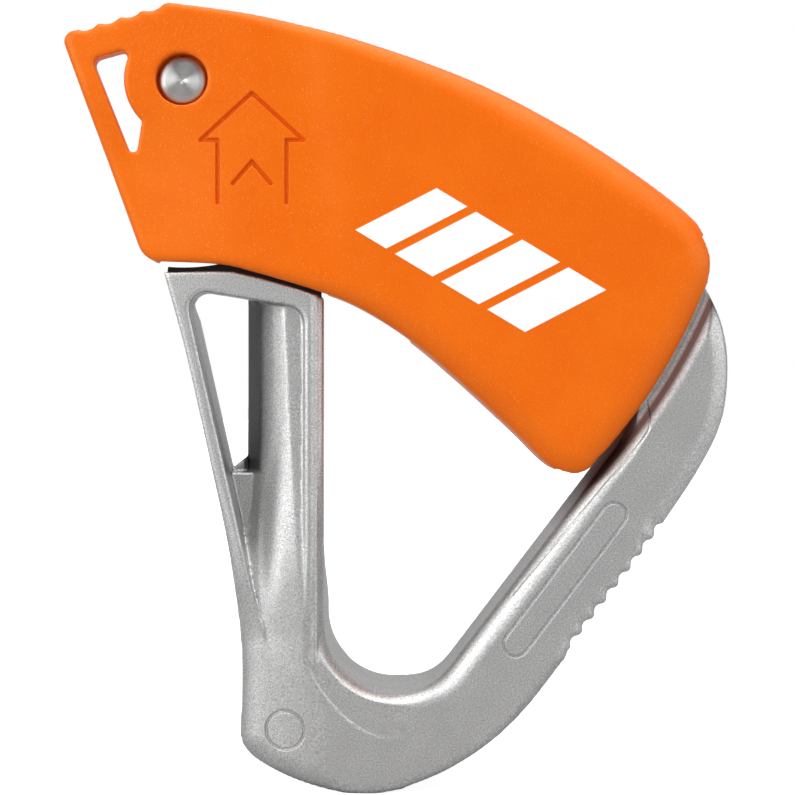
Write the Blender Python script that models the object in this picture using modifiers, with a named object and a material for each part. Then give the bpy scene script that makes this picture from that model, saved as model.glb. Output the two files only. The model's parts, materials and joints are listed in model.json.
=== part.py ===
"""Ascender: a cast frame with a rope channel and a carabiner eye, and a sprung arm on a rivet.

Outlines are written in millimetres as seen from the front: X to the right, Z up, Y away from
the viewer. The origin is the centre of the seat that the carabiner's bar rests in.
"""

import math

import bmesh
import bpy
from mathutils import Matrix

MM = 0.001

# Levels through the thickness (Y, from front to back).
ARM_FACE = -9.0
FRAME_FACE = -8.0
ARM_WALL = 1.7
ARM_INNER = ARM_FACE + ARM_WALL
PLATE_FRONT = -7.0
PLATE_BACK = -5.1
ROPE_SIDE_DEPTH = -5.2
SHELL_SEAM = -0.1
REAR_SHELL_FRONT = 0.1
FRAME_BACK = 6.5
KNUCKLE_BACK = 5.5
ARM_BACK = 7.5
ARM_BACK_INNER = 5.8

# Carabiner eye and rope channel.
EYE_RADIUS = 7.1
EYE_LEAN = 52.7
CHANNEL_CENTRE = (-6.5, 1.0)
CHANNEL_INNER = 7.1
CHANNEL_OUTER = 8.9
CHANNEL_BOTTOM = -4.0
CHANNEL_TOP = 33.4
CHANNEL_LIP = 140.0
INSERT_OUTER = 7.0
INSERT_INNER = 5.9
INSERT_RIVET_ANGLE = 158.0
INSERT_RIVET_HEIGHTS = {"insert_rivet_lower": 2.0, "insert_rivet_upper": 29.0}

# Arm pivot.
PIVOT = (-21.25, 54.8)
ARM_REACH = 56.45
RECESS_REACH = 57.6
KNUCKLE_REACH = 54.3
BOSS_RADIUS = 4.6
BOSS_FRONT = -5.7
BOSS_BACK = -2.3
SPRING_POCKET_RADIUS = 3.3
SPRING_POCKET_FRONT = -4.2
BUSH_OUTER = 2.0
BUSH_INNER = 1.55
SHANK = 1.5
WIRE = 0.5
SPRING_RADIUS = 2.65
SPRING_TURNS = 2.25

ROUND = 32


def clear_scene():
    for thing in list(bpy.data.objects):
        bpy.data.objects.remove(thing, do_unlink=True)


def new_collection(name):
    collection = bpy.data.collections.new(name)
    bpy.context.scene.collection.children.link(collection)
    return collection


def make_material(name, colour, roughness, metallic):
    material = bpy.data.materials.new(name)
    material.use_nodes = True
    shader = material.node_tree.nodes["Principled BSDF"]
    shader.inputs["Base Color"].default_value = (*colour, 1.0)
    shader.inputs["Roughness"].default_value = roughness
    shader.inputs["Metallic"].default_value = metallic
    return material


# Points of outlines.

def polar(centre, radius, degrees):
    angle = math.radians(degrees)
    return (centre[0] + radius * math.cos(angle), centre[1] + radius * math.sin(angle))


def arc(centre, radius, start, end, steps):
    return [polar(centre, radius, start + (end - start) * i / steps) for i in range(steps + 1)]


def smooth(points, steps=3):
    """A Catmull-Rom curve through the points."""
    padded = [points[0]] + list(points) + [points[-1]]
    curve = []
    for before, start, end, after in zip(padded, padded[1:], padded[2:], padded[3:]):
        for i in range(steps):
            t = i / steps
            weights = (
                -t / 2 + t * t - t ** 3 / 2,
                1 - 2.5 * t * t + 1.5 * t ** 3,
                t / 2 + 2 * t * t - 1.5 * t ** 3,
                -t * t / 2 + t ** 3 / 2,
            )
            near = (before, start, end, after)
            curve.append(tuple(sum(w * p[axis] for w, p in zip(weights, near)) for axis in (0, 1)))
    return curve + [points[-1]]


def sideways(points, distance):
    """The open run of points moved to the right of its direction of travel."""
    moved = []
    for i, point in enumerate(points):
        before = points[max(i - 1, 0)]
        after = points[min(i + 1, len(points) - 1)]
        along = (after[0] - before[0], after[1] - before[1])
        size = math.hypot(*along)
        moved.append((point[0] + along[1] / size * distance, point[1] - along[0] / size * distance))
    return moved


def scallops(start, end, count, depth):
    """Shallow hollows between two points, cut to the right of the direction of travel."""
    along = (end[0] - start[0], end[1] - start[1])
    size = math.hypot(*along)
    across = (along[1] / size, -along[0] / size)
    points = []
    for i in range(count):
        for share, drop in ((0.0, 0.0), (0.35, 1.0), (0.75, 1.0)):
            t = (i + share) / count
            points.append(
                tuple(start[axis] + along[axis] * t + across[axis] * depth * drop for axis in (0, 1))
            )
    return points + [end]


# Solids.

def solid_from_curve(curve_object):
    """A closed mesh object in place of a curve object."""
    bpy.context.view_layer.update()
    depsgraph = bpy.context.evaluated_depsgraph_get()
    mesh = bpy.data.meshes.new_from_object(curve_object.evaluated_get(depsgraph))
    shape = bmesh.new()
    shape.from_mesh(mesh)
    bmesh.ops.remove_doubles(shape, verts=shape.verts, dist=1e-6)
    bmesh.ops.recalc_face_normals(shape, faces=shape.faces)
    shape.to_mesh(mesh)
    shape.free()
    solid = bpy.data.objects.new(curve_object.name, mesh)
    solid.matrix_world = curve_object.matrix_world
    curve = curve_object.data
    name = curve_object.name
    bpy.data.objects.remove(curve_object, do_unlink=True)
    bpy.data.curves.remove(curve)
    solid.name = name
    PARTS.objects.link(solid)
    return solid


def flat_outline(name, points, thickness):
    curve = bpy.data.curves.new(name, "CURVE")
    curve.dimensions = "2D"
    curve.fill_mode = "BOTH"
    curve.extrude = thickness / 2 * MM
    spline = curve.splines.new("POLY")
    spline.points.add(len(points) - 1)
    for point, (x, z) in zip(spline.points, points):
        point.co = (x * MM, z * MM, 0.0, 1.0)
    spline.use_cyclic_u = True
    outline = bpy.data.objects.new(name, curve)
    PARTS.objects.link(outline)
    return outline


def plate(name, points, front, back):
    """An outline seen from the front, from Y = front to Y = back."""
    outline = flat_outline(name, points, back - front)
    outline.rotation_euler = (math.radians(90), 0.0, 0.0)
    outline.location = (0.0, (front + back) / 2 * MM, 0.0)
    return solid_from_curve(outline)


def column(name, points, bottom, top):
    """An outline seen from above, from Z = bottom to Z = top."""
    outline = flat_outline(name, points, top - bottom)
    outline.location = (0.0, 0.0, (bottom + top) / 2 * MM)
    return solid_from_curve(outline)


def box(name, low, high):
    corners = [(low[0], low[2]), (high[0], low[2]), (high[0], high[2]), (low[0], high[2])]
    return plate(name, corners, low[1], high[1])


def cone(name, start_radius, end_radius, length, segments, turn=Matrix()):
    """A solid cone or round bar centred on the origin, along Z unless it is turned."""
    mesh = bpy.data.meshes.new(name)
    shape = bmesh.new()
    bmesh.ops.create_cone(
        shape,
        cap_ends=True,
        segments=segments,
        radius1=start_radius * MM,
        radius2=end_radius * MM,
        depth=length * MM,
        matrix=turn,
    )
    shape.to_mesh(mesh)
    shape.free()
    solid = bpy.data.objects.new(name, mesh)
    PARTS.objects.link(solid)
    return solid


def rod(name, centre, radius, front, back):
    """A round bar along Y."""
    along_y = Matrix.Rotation(math.radians(-90), 4, "X")
    solid = cone(name, radius, radius, back - front, ROUND, along_y)
    solid.location = (centre[0] * MM, (front + back) / 2 * MM, centre[1] * MM)
    return solid


def turned(name, profile, centre):
    """A profile of (radius, Y) points, from front to back down its outer side, turned about Y."""
    mesh = bpy.data.meshes.new(name)
    shape = bmesh.new()
    corners = [shape.verts.new((radius * MM, 0.0, -y * MM)) for radius, y in profile]
    closed = profile[0][0] > 0.0
    for i in range(len(corners) - (0 if closed else 1)):
        shape.edges.new((corners[i], corners[(i + 1) % len(corners)]))
    shape.to_mesh(mesh)
    shape.free()
    solid = bpy.data.objects.new(name, mesh)
    PARTS.objects.link(solid)
    solid.location = (centre[0] * MM, 0.0, centre[1] * MM)
    solid.rotation_euler = (math.radians(90), 0.0, 0.0)
    spin = solid.modifiers.new("turn", "SCREW")
    spin.steps = ROUND
    spin.render_steps = ROUND
    spin.use_merge_vertices = True
    spin.merge_threshold = 1e-6
    return solid


def hide_tool(tool):
    tool.hide_render = True
    tool.display_type = "WIRE"
    PARTS.objects.unlink(tool)
    TOOLS.objects.link(tool)


def combine(target, tool, operation):
    step = target.modifiers.new(f"{operation.lower()} {tool.name}", "BOOLEAN")
    step.operation = operation
    step.solver = "EXACT"
    step.object = tool
    hide_tool(tool)


def cut(target, tool):
    combine(target, tool, "DIFFERENCE")


def join(target, tool):
    combine(target, tool, "UNION")


def finish_part(part, material):
    part.data.materials.clear()
    part.data.materials.append(material)
    part.data.shade_smooth()
    part.data.set_sharp_from_angle(angle=math.radians(30))


# The frame.

def eye_side(length):
    """A point on the eye's slanted side, measured from the end of the seat."""
    start = polar((0.0, 0.0), EYE_RADIUS, EYE_LEAN - 90)
    return polar(start, length, EYE_LEAN)


def leg_outline():
    """The V-shaped bottom, the slanted leg with its finger grip, the knuckle and the top bar."""
    groove_side = -5.2
    seat_start = -180 + math.degrees(math.acos(-groove_side / EYE_RADIUS))
    seat = arc((0.0, 0.0), EYE_RADIUS, seat_start, EYE_LEAN - 90, 12)
    inner = smooth([eye_side(28.0), (24.0, 20.9), (24.1, 23.0)])
    knuckle = arc(PIVOT, KNUCKLE_REACH, -33.0, -22.5, 4)
    bar_lower = smooth([(28.6, 34.9), (23.5, 35.9), (9.5, 40.9), (3.4, 42.2)], 2)
    bar_upper = smooth([(3.4, 51.3), (12.0, 47.3), (20.0, 42.8), (26.0, 39.0), (29.6, 36.4)], 2)
    outer = smooth([(31.3, 33.9), (32.8, 30.2), (33.4, 25.8), (32.8, 20.5), (30.4, 15.7), (26.9, 10.5)])
    grip = scallops((26.9, 10.5), (17.2, -2.6), 8, 0.55)
    bottom = smooth([(16.8, -3.5), (12.9, -8.6), (8.8, -12.1), (4.8, -14.6), (0.8, -16.3), (-5.2, -16.8)])
    return seat + inner + knuckle + bar_lower + bar_upper + outer + grip + bottom


def face_outline():
    """The front face of the left leg: slanted bar, shoulder, rim and the curved bottom."""
    bar = smooth([(-23.2, 35.6), (-21.0, 27.5), (-18.6, 16.7), (-16.6, 6.6), (-15.4, -3.5), (-15.5, -11.6)])
    bottom = smooth([(-14.9, -12.7), (-13.3, -13.9), (-9.3, -15.8), (-5.2, -16.8), (-3.0, -16.9)], 2)
    seat = arc((0.0, 0.0), EYE_RADIUS, -115.0, -180.0, 8)
    shoulder = [(-EYE_RADIUS, 33.0), (-16.0, 35.7)]
    return bar + bottom + seat + shoulder


def window_outline():
    """The opening in the front face that shows the rope channel."""
    bar_side = smooth([(-20.5, 32.0), (-18.9, 24.0), (-16.4, 12.8), (-14.3, 3.5), (-12.7, -1.4)])
    crest = smooth([(-11.6, 3.0), (-9.9, 3.0), (-9.3, -2.4)], 2)
    top = [(-8.8, 30.2), (-10.0, 31.9), (-18.6, 33.6), (-19.9, 33.3)]
    return bar_side + crest + top


def channel_outline():
    """The rope channel seen from above: a round wall, open at the right and the back."""
    outer = arc(CHANNEL_CENTRE, CHANNEL_OUTER, 238.0, CHANNEL_LIP, 14)
    inner = arc(CHANNEL_CENTRE, CHANNEL_INNER, CHANNEL_LIP, 265.0, 16)
    rim = [(-EYE_RADIUS, -7.9), (-8.8, -7.9), (-8.8, -6.5)]
    return outer + inner + rim


def add_frame():
    frame = plate("frame", leg_outline(), FRAME_FACE, FRAME_BACK)
    swept = arc(PIVOT, RECESS_REACH, -48.0, -8.0, 24) + [(-1.0, 60.0), (-1.0, 20.0)]
    cut(frame, plate("recess_front", swept, FRAME_FACE - 1, PLATE_FRONT))
    cut(frame, plate("recess_back", swept, KNUCKLE_BACK, FRAME_BACK + 1))

    face = plate("face", face_outline(), FRAME_FACE, PLATE_BACK)
    cut(face, plate("window", window_outline(), FRAME_FACE - 1, PLATE_BACK + 1))
    join(frame, face)
    join(frame, column("channel", channel_outline(), CHANNEL_BOTTOM, CHANNEL_TOP))
    bar = [(-23.0, 35.3), (-21.0, 27.5), (-18.6, 16.7), (-16.6, 6.6), (-15.45, -3.5)]
    bar_inner = [(-13.9, -3.5), (-14.4, 3.5), (-16.45, 12.8), (-18.95, 24.0), (-20.7, 33.6), (-19.0, 35.3)]
    join(frame, plate("bar", bar + bar_inner, PLATE_BACK - 0.5, 2.0))
    web = [(-17.2, 15.3), (-14.3, 15.3), (-13.9, -3.0), (-15.0, -3.0), (-15.9, 6.6)]
    join(frame, plate("web", web, -3.0, 0.5))

    bore = arc(CHANNEL_CENTRE, CHANNEL_INNER - 0.02, 0.0, 360.0, 48)[:-1]
    cut(frame, column("rope_bore", bore, CHANNEL_BOTTOM, CHANNEL_TOP))

    bar_lower = [(-7.5, 33.0), (-7.5, 41.0), (-6.0, 42.3), (4.5, 42.6)]
    bar_upper = [(4.5, 50.6), (-4.0, 54.0), (-10.0, 56.0), (-18.0, 58.0)]
    neck = bar_lower + bar_upper + [PIVOT, (-17.6, 48.0), (-16.6, 34.9)]
    top_plate = plate("top_plate", neck, PLATE_FRONT, PLATE_BACK)
    join(frame, top_plate)
    cut(frame, rod("boss_recess", PIVOT, BOSS_RADIUS - 0.3, FRAME_FACE, BOSS_FRONT))
    join(frame, rod("boss", PIVOT, BOSS_RADIUS, BOSS_FRONT + 0.01, BOSS_BACK))
    cut(frame, rod("boss_bore", PIVOT, BUSH_OUTER + 0.03, FRAME_FACE, 0.0))
    cut(frame, rod("spring_pocket", PIVOT, SPRING_POCKET_RADIUS, SPRING_POCKET_FRONT, 0.0))
    for name, height in INSERT_RIVET_HEIGHTS.items():
        cut(frame, radial_rod(f"{name}_hole", height, 1.0, CHANNEL_INNER - 0.5, CHANNEL_OUTER + 0.6))
    finish_part(frame, CAST)
    return frame


def lay_radially(solid, radius, height, degrees, turn=0.0):
    """Places a bar across the channel's wall, along the radius at an angle seen from above."""
    x, y = polar(CHANNEL_CENTRE, radius, degrees)
    solid.location = (x * MM, y * MM, height * MM)
    solid.rotation_euler = (0.0, math.radians(90), math.radians(degrees + turn))


def radial_rod(name, height, radius, start, end):
    """A round bar through the channel's wall, from one radius of the channel to another."""
    solid = cone(name, radius, radius, end - start, 16)
    lay_radially(solid, (start + end) / 2, height, INSERT_RIVET_ANGLE)
    return solid


def add_teeth(insert):
    """Rows of points on the liner's inner side, every other row moved round by half a step."""
    root, radius, tip, length = INSERT_INNER + 0.3, 0.55, 0.08, 1.1
    number = 0
    for row, height in enumerate(range(3, 27, 4)):
        for column_angle in (195.0, 215.0, 235.0, 255.0):
            degrees = column_angle + (10.0 if row % 2 else 0.0)
            if degrees > 256.0:
                continue
            number += 1
            tooth = cone(f"tooth_{number}", radius, tip, length, 6)
            lay_radially(tooth, root - length / 2, height, degrees, turn=180.0)
            join(insert, tooth)


def add_insert():
    """The toothed steel liner inside the channel, and the two rivets that hold it."""
    outer = arc(CHANNEL_CENTRE, INSERT_OUTER, 262.0, CHANNEL_LIP + 2, 14)
    inner = arc(CHANNEL_CENTRE, INSERT_INNER, CHANNEL_LIP + 2, 262.0, 14)
    insert = column("toothed_insert", outer + inner, CHANNEL_BOTTOM + 0.5, CHANNEL_TOP - 0.5)
    add_teeth(insert)
    for name, height in INSERT_RIVET_HEIGHTS.items():
        cut(insert, radial_rod(f"{name}_insert_hole", height, 1.0, INSERT_INNER - 0.6, INSERT_OUTER + 0.6))
    finish_part(insert, STEEL)
    rivets = []
    for name, height in INSERT_RIVET_HEIGHTS.items():
        rivet = radial_rod(name, height, 0.9, INSERT_INNER + 0.1, CHANNEL_OUTER + 0.2)
        join(rivet, radial_rod(f"{name}_head", height, 1.5, CHANNEL_OUTER + 0.1, CHANNEL_OUTER + 0.6))
        finish_part(rivet, STEEL)
        rivets.append(rivet)
    return [insert] + rivets


# The arm.

ARM_TOP = [
    (-22.7, 62.5), (-15.5, 61.5), (-9.6, 60.25), (-0.7, 57.8),
    (8.6, 54.3), (17.0, 50.0), (23.9, 45.4), (29.1, 41.5),
]
ARM_NOSE = [(29.1, 41.5), (30.8, 39.8), (31.9, 36.8), (31.1, 33.6)]
ARM_TIP = [(20.5, 16.8), (19.4, 15.7), (17.8, 15.3), (15.5, 16.3)]
ARM_LOWER = [(15.5, 16.3), (12.1, 19.6), (6.7, 24.55), (1.3, 29.0), (-4.0, 32.2), (-8.8, 34.0)]
ARM_SHOULDER = [(-8.8, 34.0), (-13.6, 35.4), (-17.4, 36.3), (-23.4, 36.55)]
ARM_LEFT_CORNER = [(-24.8, 37.2), (-25.8, 39.2)]
TAB_CORNER = [(-33.2, 58.6), (-32.9, 59.3)]
TAB_HOLE = [(-29.95, 56.4), (-29.5, 57.1), (-27.4, 57.6), (-26.8, 56.9)]
TAB_HOLE_FOOT = [(-25.8, 48.3), (-26.2, 47.6), (-26.7, 48.0)]


def arm_outline():
    top = smooth(ARM_TOP)
    nose = smooth(ARM_NOSE)[1:]
    edge = arc(PIVOT, ARM_REACH, -24.5, -41.0, 6)
    lower = smooth(ARM_TIP)[1:-1] + smooth(ARM_LOWER)
    grip = scallops((-32.0, 59.7), (-22.7, 62.5), 4, 0.28)
    return top + nose + edge + lower + ARM_SHOULDER[1:] + ARM_LEFT_CORNER + TAB_CORNER + grip[:-1]


def arm_cavity(left):
    """The hollow of the arm: inside its top wall and bottom flange, open for the neck and the knuckle."""
    wall = 1.6
    top = sideways(smooth(ARM_TOP[1:]), wall)
    mouth = [(29.3, 39.2), (40.0, 39.2), (40.0, 10.0), (15.4, 10.0)]
    lower = sideways(smooth(ARM_LOWER[:-1] + [(-7.2, 33.4)]), wall)
    return top + mouth + lower + [(-7.2, 30.0)] + left


def add_front_shell():
    shell = plate("arm_front_shell", arm_outline(), ARM_FACE, SHELL_SEAM)
    around_boss = arc(PIVOT, 4.95, 215.0, 100.0, 10)
    left = [(-24.2, 30.0), (-24.2, 39.5), (-25.2, 43.0), (-24.9, 46.0), (-24.2, 48.6)] + around_boss
    cavity = arm_cavity(left + [(-21.5, 60.7)])
    cut(shell, plate("front_cavity", cavity, ARM_INNER, SHELL_SEAM + 1))
    rope_side = -13.0
    cut(shell, box("rope_side_gap", (rope_side, ROPE_SIDE_DEPTH, 20.0), (1.6, 2.0, 70.0)))
    cut(shell, box("left_side_gap", (-40.0, -1.9, 30.0), (rope_side + 0.1, 2.0, 70.0)))
    tab = [(-40.0, 45.0), (-26.6, 45.0), (-26.6, 70.0), (-40.0, 70.0)]
    cut(shell, plate("tab_back_gap", tab, -4.0, 2.0))
    hole = TAB_HOLE + arc(PIVOT, 5.8, 160.0, 229.0, 8) + TAB_HOLE_FOOT
    cut(shell, plate("cord_hole", hole, ARM_FACE - 1, 2.0))
    join(shell, rod("arm_boss", PIVOT, 4.0, ARM_INNER - 0.5, -6.3))
    cut(shell, rod("head_recess", PIVOT, 2.67, ARM_FACE - 1, -7.2))
    cut(shell, rod("arm_bore", PIVOT, SHANK + 0.05, ARM_FACE - 1, 0.0))
    finish_part(shell, PLASTIC)
    return shell


def add_rear_shell():
    shell = plate("arm_rear_shell", arm_outline(), REAR_SHELL_FRONT, ARM_BACK)
    cut(shell, box("left_trim", (-40.0, -1.0, 20.0), (1.6, 9.0, 70.0)))
    cut(shell, plate("rear_cavity", arm_cavity([(-20.0, 30.0), (-20.0, 60.0)]), -1.0, ARM_BACK_INNER))
    finish_part(shell, PLASTIC)
    return shell


def add_pivot_cover():
    outline = [
        (-26.4, 60.2), (-22.0, 62.0), (-15.6, 61.1), (-13.6, 58.0), (-14.2, 51.0), (-18.0, 47.5),
        (-23.0, 41.5), (-25.6, 40.5), (-26.3, 42.5), (-26.0, 46.5), (-25.0, 49.4),
    ]
    cover = plate("arm_pivot_cover", outline, -1.7, -0.2)
    cut(cover, rod("cover_bore", PIVOT, SHANK + 0.05, -3.0, 1.0))
    cut(cover, rod("spring_leg_hole", polar(PIVOT, SPRING_RADIUS, 90.0), 0.5, -3.0, 1.0))
    finish_part(cover, PLASTIC)
    return cover


def ring(name, inner, outer, front, back, material):
    part = turned(name, [(outer, front), (outer, back), (inner, back), (inner, front)], PIVOT)
    finish_part(part, material)
    return part


def add_pivot():
    """The rivet, its washer, the bush, the thrust washers and the return spring."""
    head, tail = 2.27, 2.1
    profile = [
        (0.0, -7.95), (0.35, -7.95), (0.5, -8.1), (head - 0.25, -8.1), (head, -7.9), (head, -7.3),
        (SHANK, -7.3), (SHANK, 0.55), (tail, 0.55), (tail, 0.9), (tail - 0.6, 1.25), (0.0, 1.25),
    ]
    rivet = turned("pivot_rivet", profile, PIVOT)
    finish_part(rivet, STEEL)
    arm_side = [
        rivet,
        ring("rivet_washer", SHANK + 0.05, 2.9, -0.1, 0.4, STEEL),
    ]
    frame_side = [
        ring("pivot_bush", BUSH_INNER, BUSH_OUTER, BOSS_FRONT + 0.05, BOSS_BACK - 0.05, BRONZE),
        ring("thrust_washer_front", SHANK + 0.06, 3.6, -6.2, -5.8, STEEL),
        ring("thrust_washer_rear", SHANK + 0.06, 2.1, -2.2, -1.8, STEEL),
    ]
    return arm_side, frame_side


def add_return_spring():
    """A torsion spring: one leg stays in the frame's pocket, the other goes into the arm's cover."""
    start = SPRING_POCKET_FRONT + WIRE / 2 + 0.05
    pitch = WIRE + 0.06
    points_per_turn = 14
    total = round(SPRING_TURNS * points_per_turn)
    route = []
    for i in range(total + 1):
        turn = i / points_per_turn
        x, z = polar(PIVOT, SPRING_RADIUS, 360.0 * turn)
        route.append((x, start + pitch * turn, z))
    x, z = polar(PIVOT, SPRING_RADIUS, 90.0)
    route.append((x, -2.1, z))
    route.append((x, -0.9, z))
    curve = bpy.data.curves.new("return_spring", "CURVE")
    curve.dimensions = "3D"
    curve.bevel_depth = WIRE / 2 * MM
    curve.bevel_resolution = 1
    curve.use_fill_caps = True
    spline = curve.splines.new("POLY")
    spline.points.add(len(route) - 1)
    for point, place in zip(spline.points, route):
        point.co = (*(value * MM for value in place), 1.0)
    spring = bpy.data.objects.new("return_spring", curve)
    PARTS.objects.link(spring)
    spring = solid_from_curve(spring)
    finish_part(spring, STEEL)
    return spring


def hang_on(empty_name, place, pieces):
    """Parents the pieces to an empty, so that they turn about it."""
    empty = bpy.data.objects.new(empty_name, None)
    PARTS.objects.link(empty)
    empty.location = tuple(value * MM for value in place)
    bpy.context.view_layer.update()
    for piece in pieces:
        piece.parent = empty
        piece.matrix_parent_inverse = empty.matrix_world.inverted()


clear_scene()
PARTS = new_collection("ascender")
TOOLS = new_collection("cutters")
CAST = make_material("cast_frame", (0.40, 0.40, 0.39), 0.45, 0.9)
PLASTIC = make_material("arm_plastic", (0.80, 0.16, 0.008), 0.42, 0.0)
STEEL = make_material("steel", (0.55, 0.55, 0.55), 0.25, 1.0)
BRONZE = make_material("bronze", (0.55, 0.38, 0.16), 0.35, 1.0)

arm_pieces = [add_front_shell(), add_rear_shell(), add_pivot_cover()]
turning, fixed = add_pivot()
hang_on("arm_pivot", (PIVOT[0], 0.0, PIVOT[1]), arm_pieces + turning)
hang_on("frame_origin", (0.0, 0.0, 0.0), [add_frame()] + add_insert() + fixed + [add_return_spring()])
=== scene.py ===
"""Looks of the ascender: a bead-blasted casting and a moulded arm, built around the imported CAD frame.

The casting and the arm's shells are modelled as distance fields on a fine grid, so that their
edges, fillets and bevels flow into each other as on the real pieces, and are then meshed.
Outlines are in millimetres in the CAD frame: X to the right, Z up, Y from front to back.
"""

import json
import math

import bmesh
import bpy
import numpy as np
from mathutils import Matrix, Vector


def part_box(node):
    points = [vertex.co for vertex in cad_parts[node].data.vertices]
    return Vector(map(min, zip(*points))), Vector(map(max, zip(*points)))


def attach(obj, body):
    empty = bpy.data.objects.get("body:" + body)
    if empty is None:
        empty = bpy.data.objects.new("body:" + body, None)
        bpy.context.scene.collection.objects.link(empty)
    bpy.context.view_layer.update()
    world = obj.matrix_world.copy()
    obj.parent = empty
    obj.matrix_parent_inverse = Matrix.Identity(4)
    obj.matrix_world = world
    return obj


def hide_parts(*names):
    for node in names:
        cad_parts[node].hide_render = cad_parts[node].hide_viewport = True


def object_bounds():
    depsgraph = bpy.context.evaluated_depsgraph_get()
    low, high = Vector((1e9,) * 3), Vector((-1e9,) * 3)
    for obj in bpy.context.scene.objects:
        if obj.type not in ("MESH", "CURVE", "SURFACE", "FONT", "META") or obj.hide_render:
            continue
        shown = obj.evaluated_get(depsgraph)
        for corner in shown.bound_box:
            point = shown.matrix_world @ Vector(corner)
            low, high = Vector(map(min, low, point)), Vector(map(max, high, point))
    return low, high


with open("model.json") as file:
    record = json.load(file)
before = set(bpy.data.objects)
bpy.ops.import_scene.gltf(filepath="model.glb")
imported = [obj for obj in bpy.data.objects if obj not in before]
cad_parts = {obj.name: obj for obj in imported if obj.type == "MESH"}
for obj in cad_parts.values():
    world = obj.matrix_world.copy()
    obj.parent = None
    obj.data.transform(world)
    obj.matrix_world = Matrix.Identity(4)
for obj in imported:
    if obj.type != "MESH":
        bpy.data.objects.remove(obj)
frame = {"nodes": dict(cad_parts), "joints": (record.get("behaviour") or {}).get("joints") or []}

import openvdb
from mathutils import Matrix, Vector

CAD_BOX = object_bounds()
MM = 0.001
STEP = 0.2
BAND = 3 * STEP

HINGE = next(joint for joint in frame["joints"] if joint["name"] == "arm_pivot")
PIVOT = (HINGE["pos_m"][0] / MM, HINGE["pos_m"][2] / MM)


def cad_box(node):
    """A CAD node's box in millimetres: its low and its high corner."""
    return [tuple(value / MM for value in corner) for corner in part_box(node)]


# Levels through the thickness (Y). SKIN is how far the outermost faces stay inside the CAD's.
SKIN = 0.05
ARM_FACE = cad_box("arm_front_shell")[0][1] + SKIN
ARM_BACK = cad_box("arm_rear_shell")[1][1] - SKIN
FRAME_FACE = cad_box("frame")[0][1] + SKIN
FRAME_BACK = cad_box("frame")[1][1] - SKIN
PLATE_FRONT = FRAME_FACE + 0.95
PLATE_BACK = -5.1
KNUCKLE_BACK = 5.5
BOSS_FRONT = -5.7
BOSS_BACK = -2.3
SPRING_POCKET_FRONT = -4.2
HEAD_SEAT = -7.2

# Cutters that go right through start and end here, clear of every piece.
BEFORE = -12.0
BEYOND = 12.0

# The carabiner eye: its radius, and the lean of its slanted side from the horizontal.
EYE_RADIUS = 7.1
EYE_LEAN = 52.7

# The rope channel seen from above: its centre, radii, and the angles at which its wall ends.
CHANNEL = (-6.5, 1.0)
CHANNEL_INNER = 7.1
CHANNEL_OUTER = 8.9
CHANNEL_LIP = 140.0
CHANNEL_MOUTH = 262.0
CHANNEL_BOTTOM = -3.9
CHANNEL_TOP = 33.3
INSERT_INNER = 5.9
INSERT_RIVET_ANGLE = 158.0

# Radii about the pivot.
SHANK = 1.5
BUSH_BORE = 2.1
SPRING_POCKET_RADIUS = 3.3
BOSS_RADIUS = 4.6
KNUCKLE_REACH = 54.3
ARM_REACH = 56.8
RECESS_REACH = 57.65


# Points of outlines.

def polar(centre, radius, degrees):
    angle = math.radians(degrees)
    return (centre[0] + radius * math.cos(angle), centre[1] + radius * math.sin(angle))


def arc(centre, radius, start, end, steps):
    return [polar(centre, radius, start + (end - start) * i / steps) for i in range(steps + 1)]


def rectangle(left, right, bottom, top):
    return [(left, bottom), (right, bottom), (right, top), (left, top)]


def smooth(points, steps=6):
    """A Catmull-Rom curve through the points."""
    padded = [points[0]] + list(points) + [points[-1]]
    curve = []
    for near in zip(padded, padded[1:], padded[2:], padded[3:]):
        for i in range(steps):
            t = i / steps
            weights = (
                -t / 2 + t * t - t ** 3 / 2,
                1 - 2.5 * t * t + 1.5 * t ** 3,
                t / 2 + 2 * t * t - 1.5 * t ** 3,
                -t * t / 2 + t ** 3 / 2,
            )
            curve.append(tuple(sum(w * p[axis] for w, p in zip(weights, near)) for axis in (0, 1)))
    return curve + [points[-1]]


def sideways(points, distance):
    """The open run of points moved to the right of its direction of travel."""
    moved = []
    for i, point in enumerate(points):
        before = points[max(i - 1, 0)]
        after = points[min(i + 1, len(points) - 1)]
        along = (after[0] - before[0], after[1] - before[1])
        size = math.hypot(*along)
        moved.append((point[0] + along[1] / size * distance, point[1] - along[0] / size * distance))
    return moved


def scallops(start, end, count, depth, hollow=0.72):
    """Round hollows between two points, cut to the right of the direction of travel."""
    along = (end[0] - start[0], end[1] - start[1])
    size = math.hypot(*along)
    across = (along[1] / size, -along[0] / size)
    points = []
    samples = 8
    for i in range(count):
        for k in range(samples):
            share = k / samples
            drop = math.sin(math.pi * min(share / hollow, 1.0)) ** 0.8 if share < hollow else 0.0
            t = (i + share) / count
            points.append(tuple(start[a] + along[a] * t + across[a] * depth * drop for a in (0, 1)))
    return points + [end]


# Distance fields.

def outline_distance(points, u, v):
    """Signed distance to a closed outline, negative inside."""
    nearest = np.full(u.shape, 1e9, dtype=np.float32)
    inside = np.zeros(u.shape, dtype=bool)
    for (ax, ay), (bx, by) in zip(points, points[1:] + points[:1]):
        dx, dy = bx - ax, by - ay
        size = dx * dx + dy * dy
        if size < 1e-12:
            continue
        px, py = u - ax, v - ay
        t = np.clip((px * dx + py * dy) / size, 0.0, 1.0)
        nearest = np.minimum(nearest, (px - t * dx) ** 2 + (py - t * dy) ** 2)
        if ay != by:
            inside ^= ((ay > v) != (by > v)) & (px < dx * py / dy)
    distance = np.sqrt(nearest)
    return np.where(inside, -distance, distance).astype(np.float32)


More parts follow.
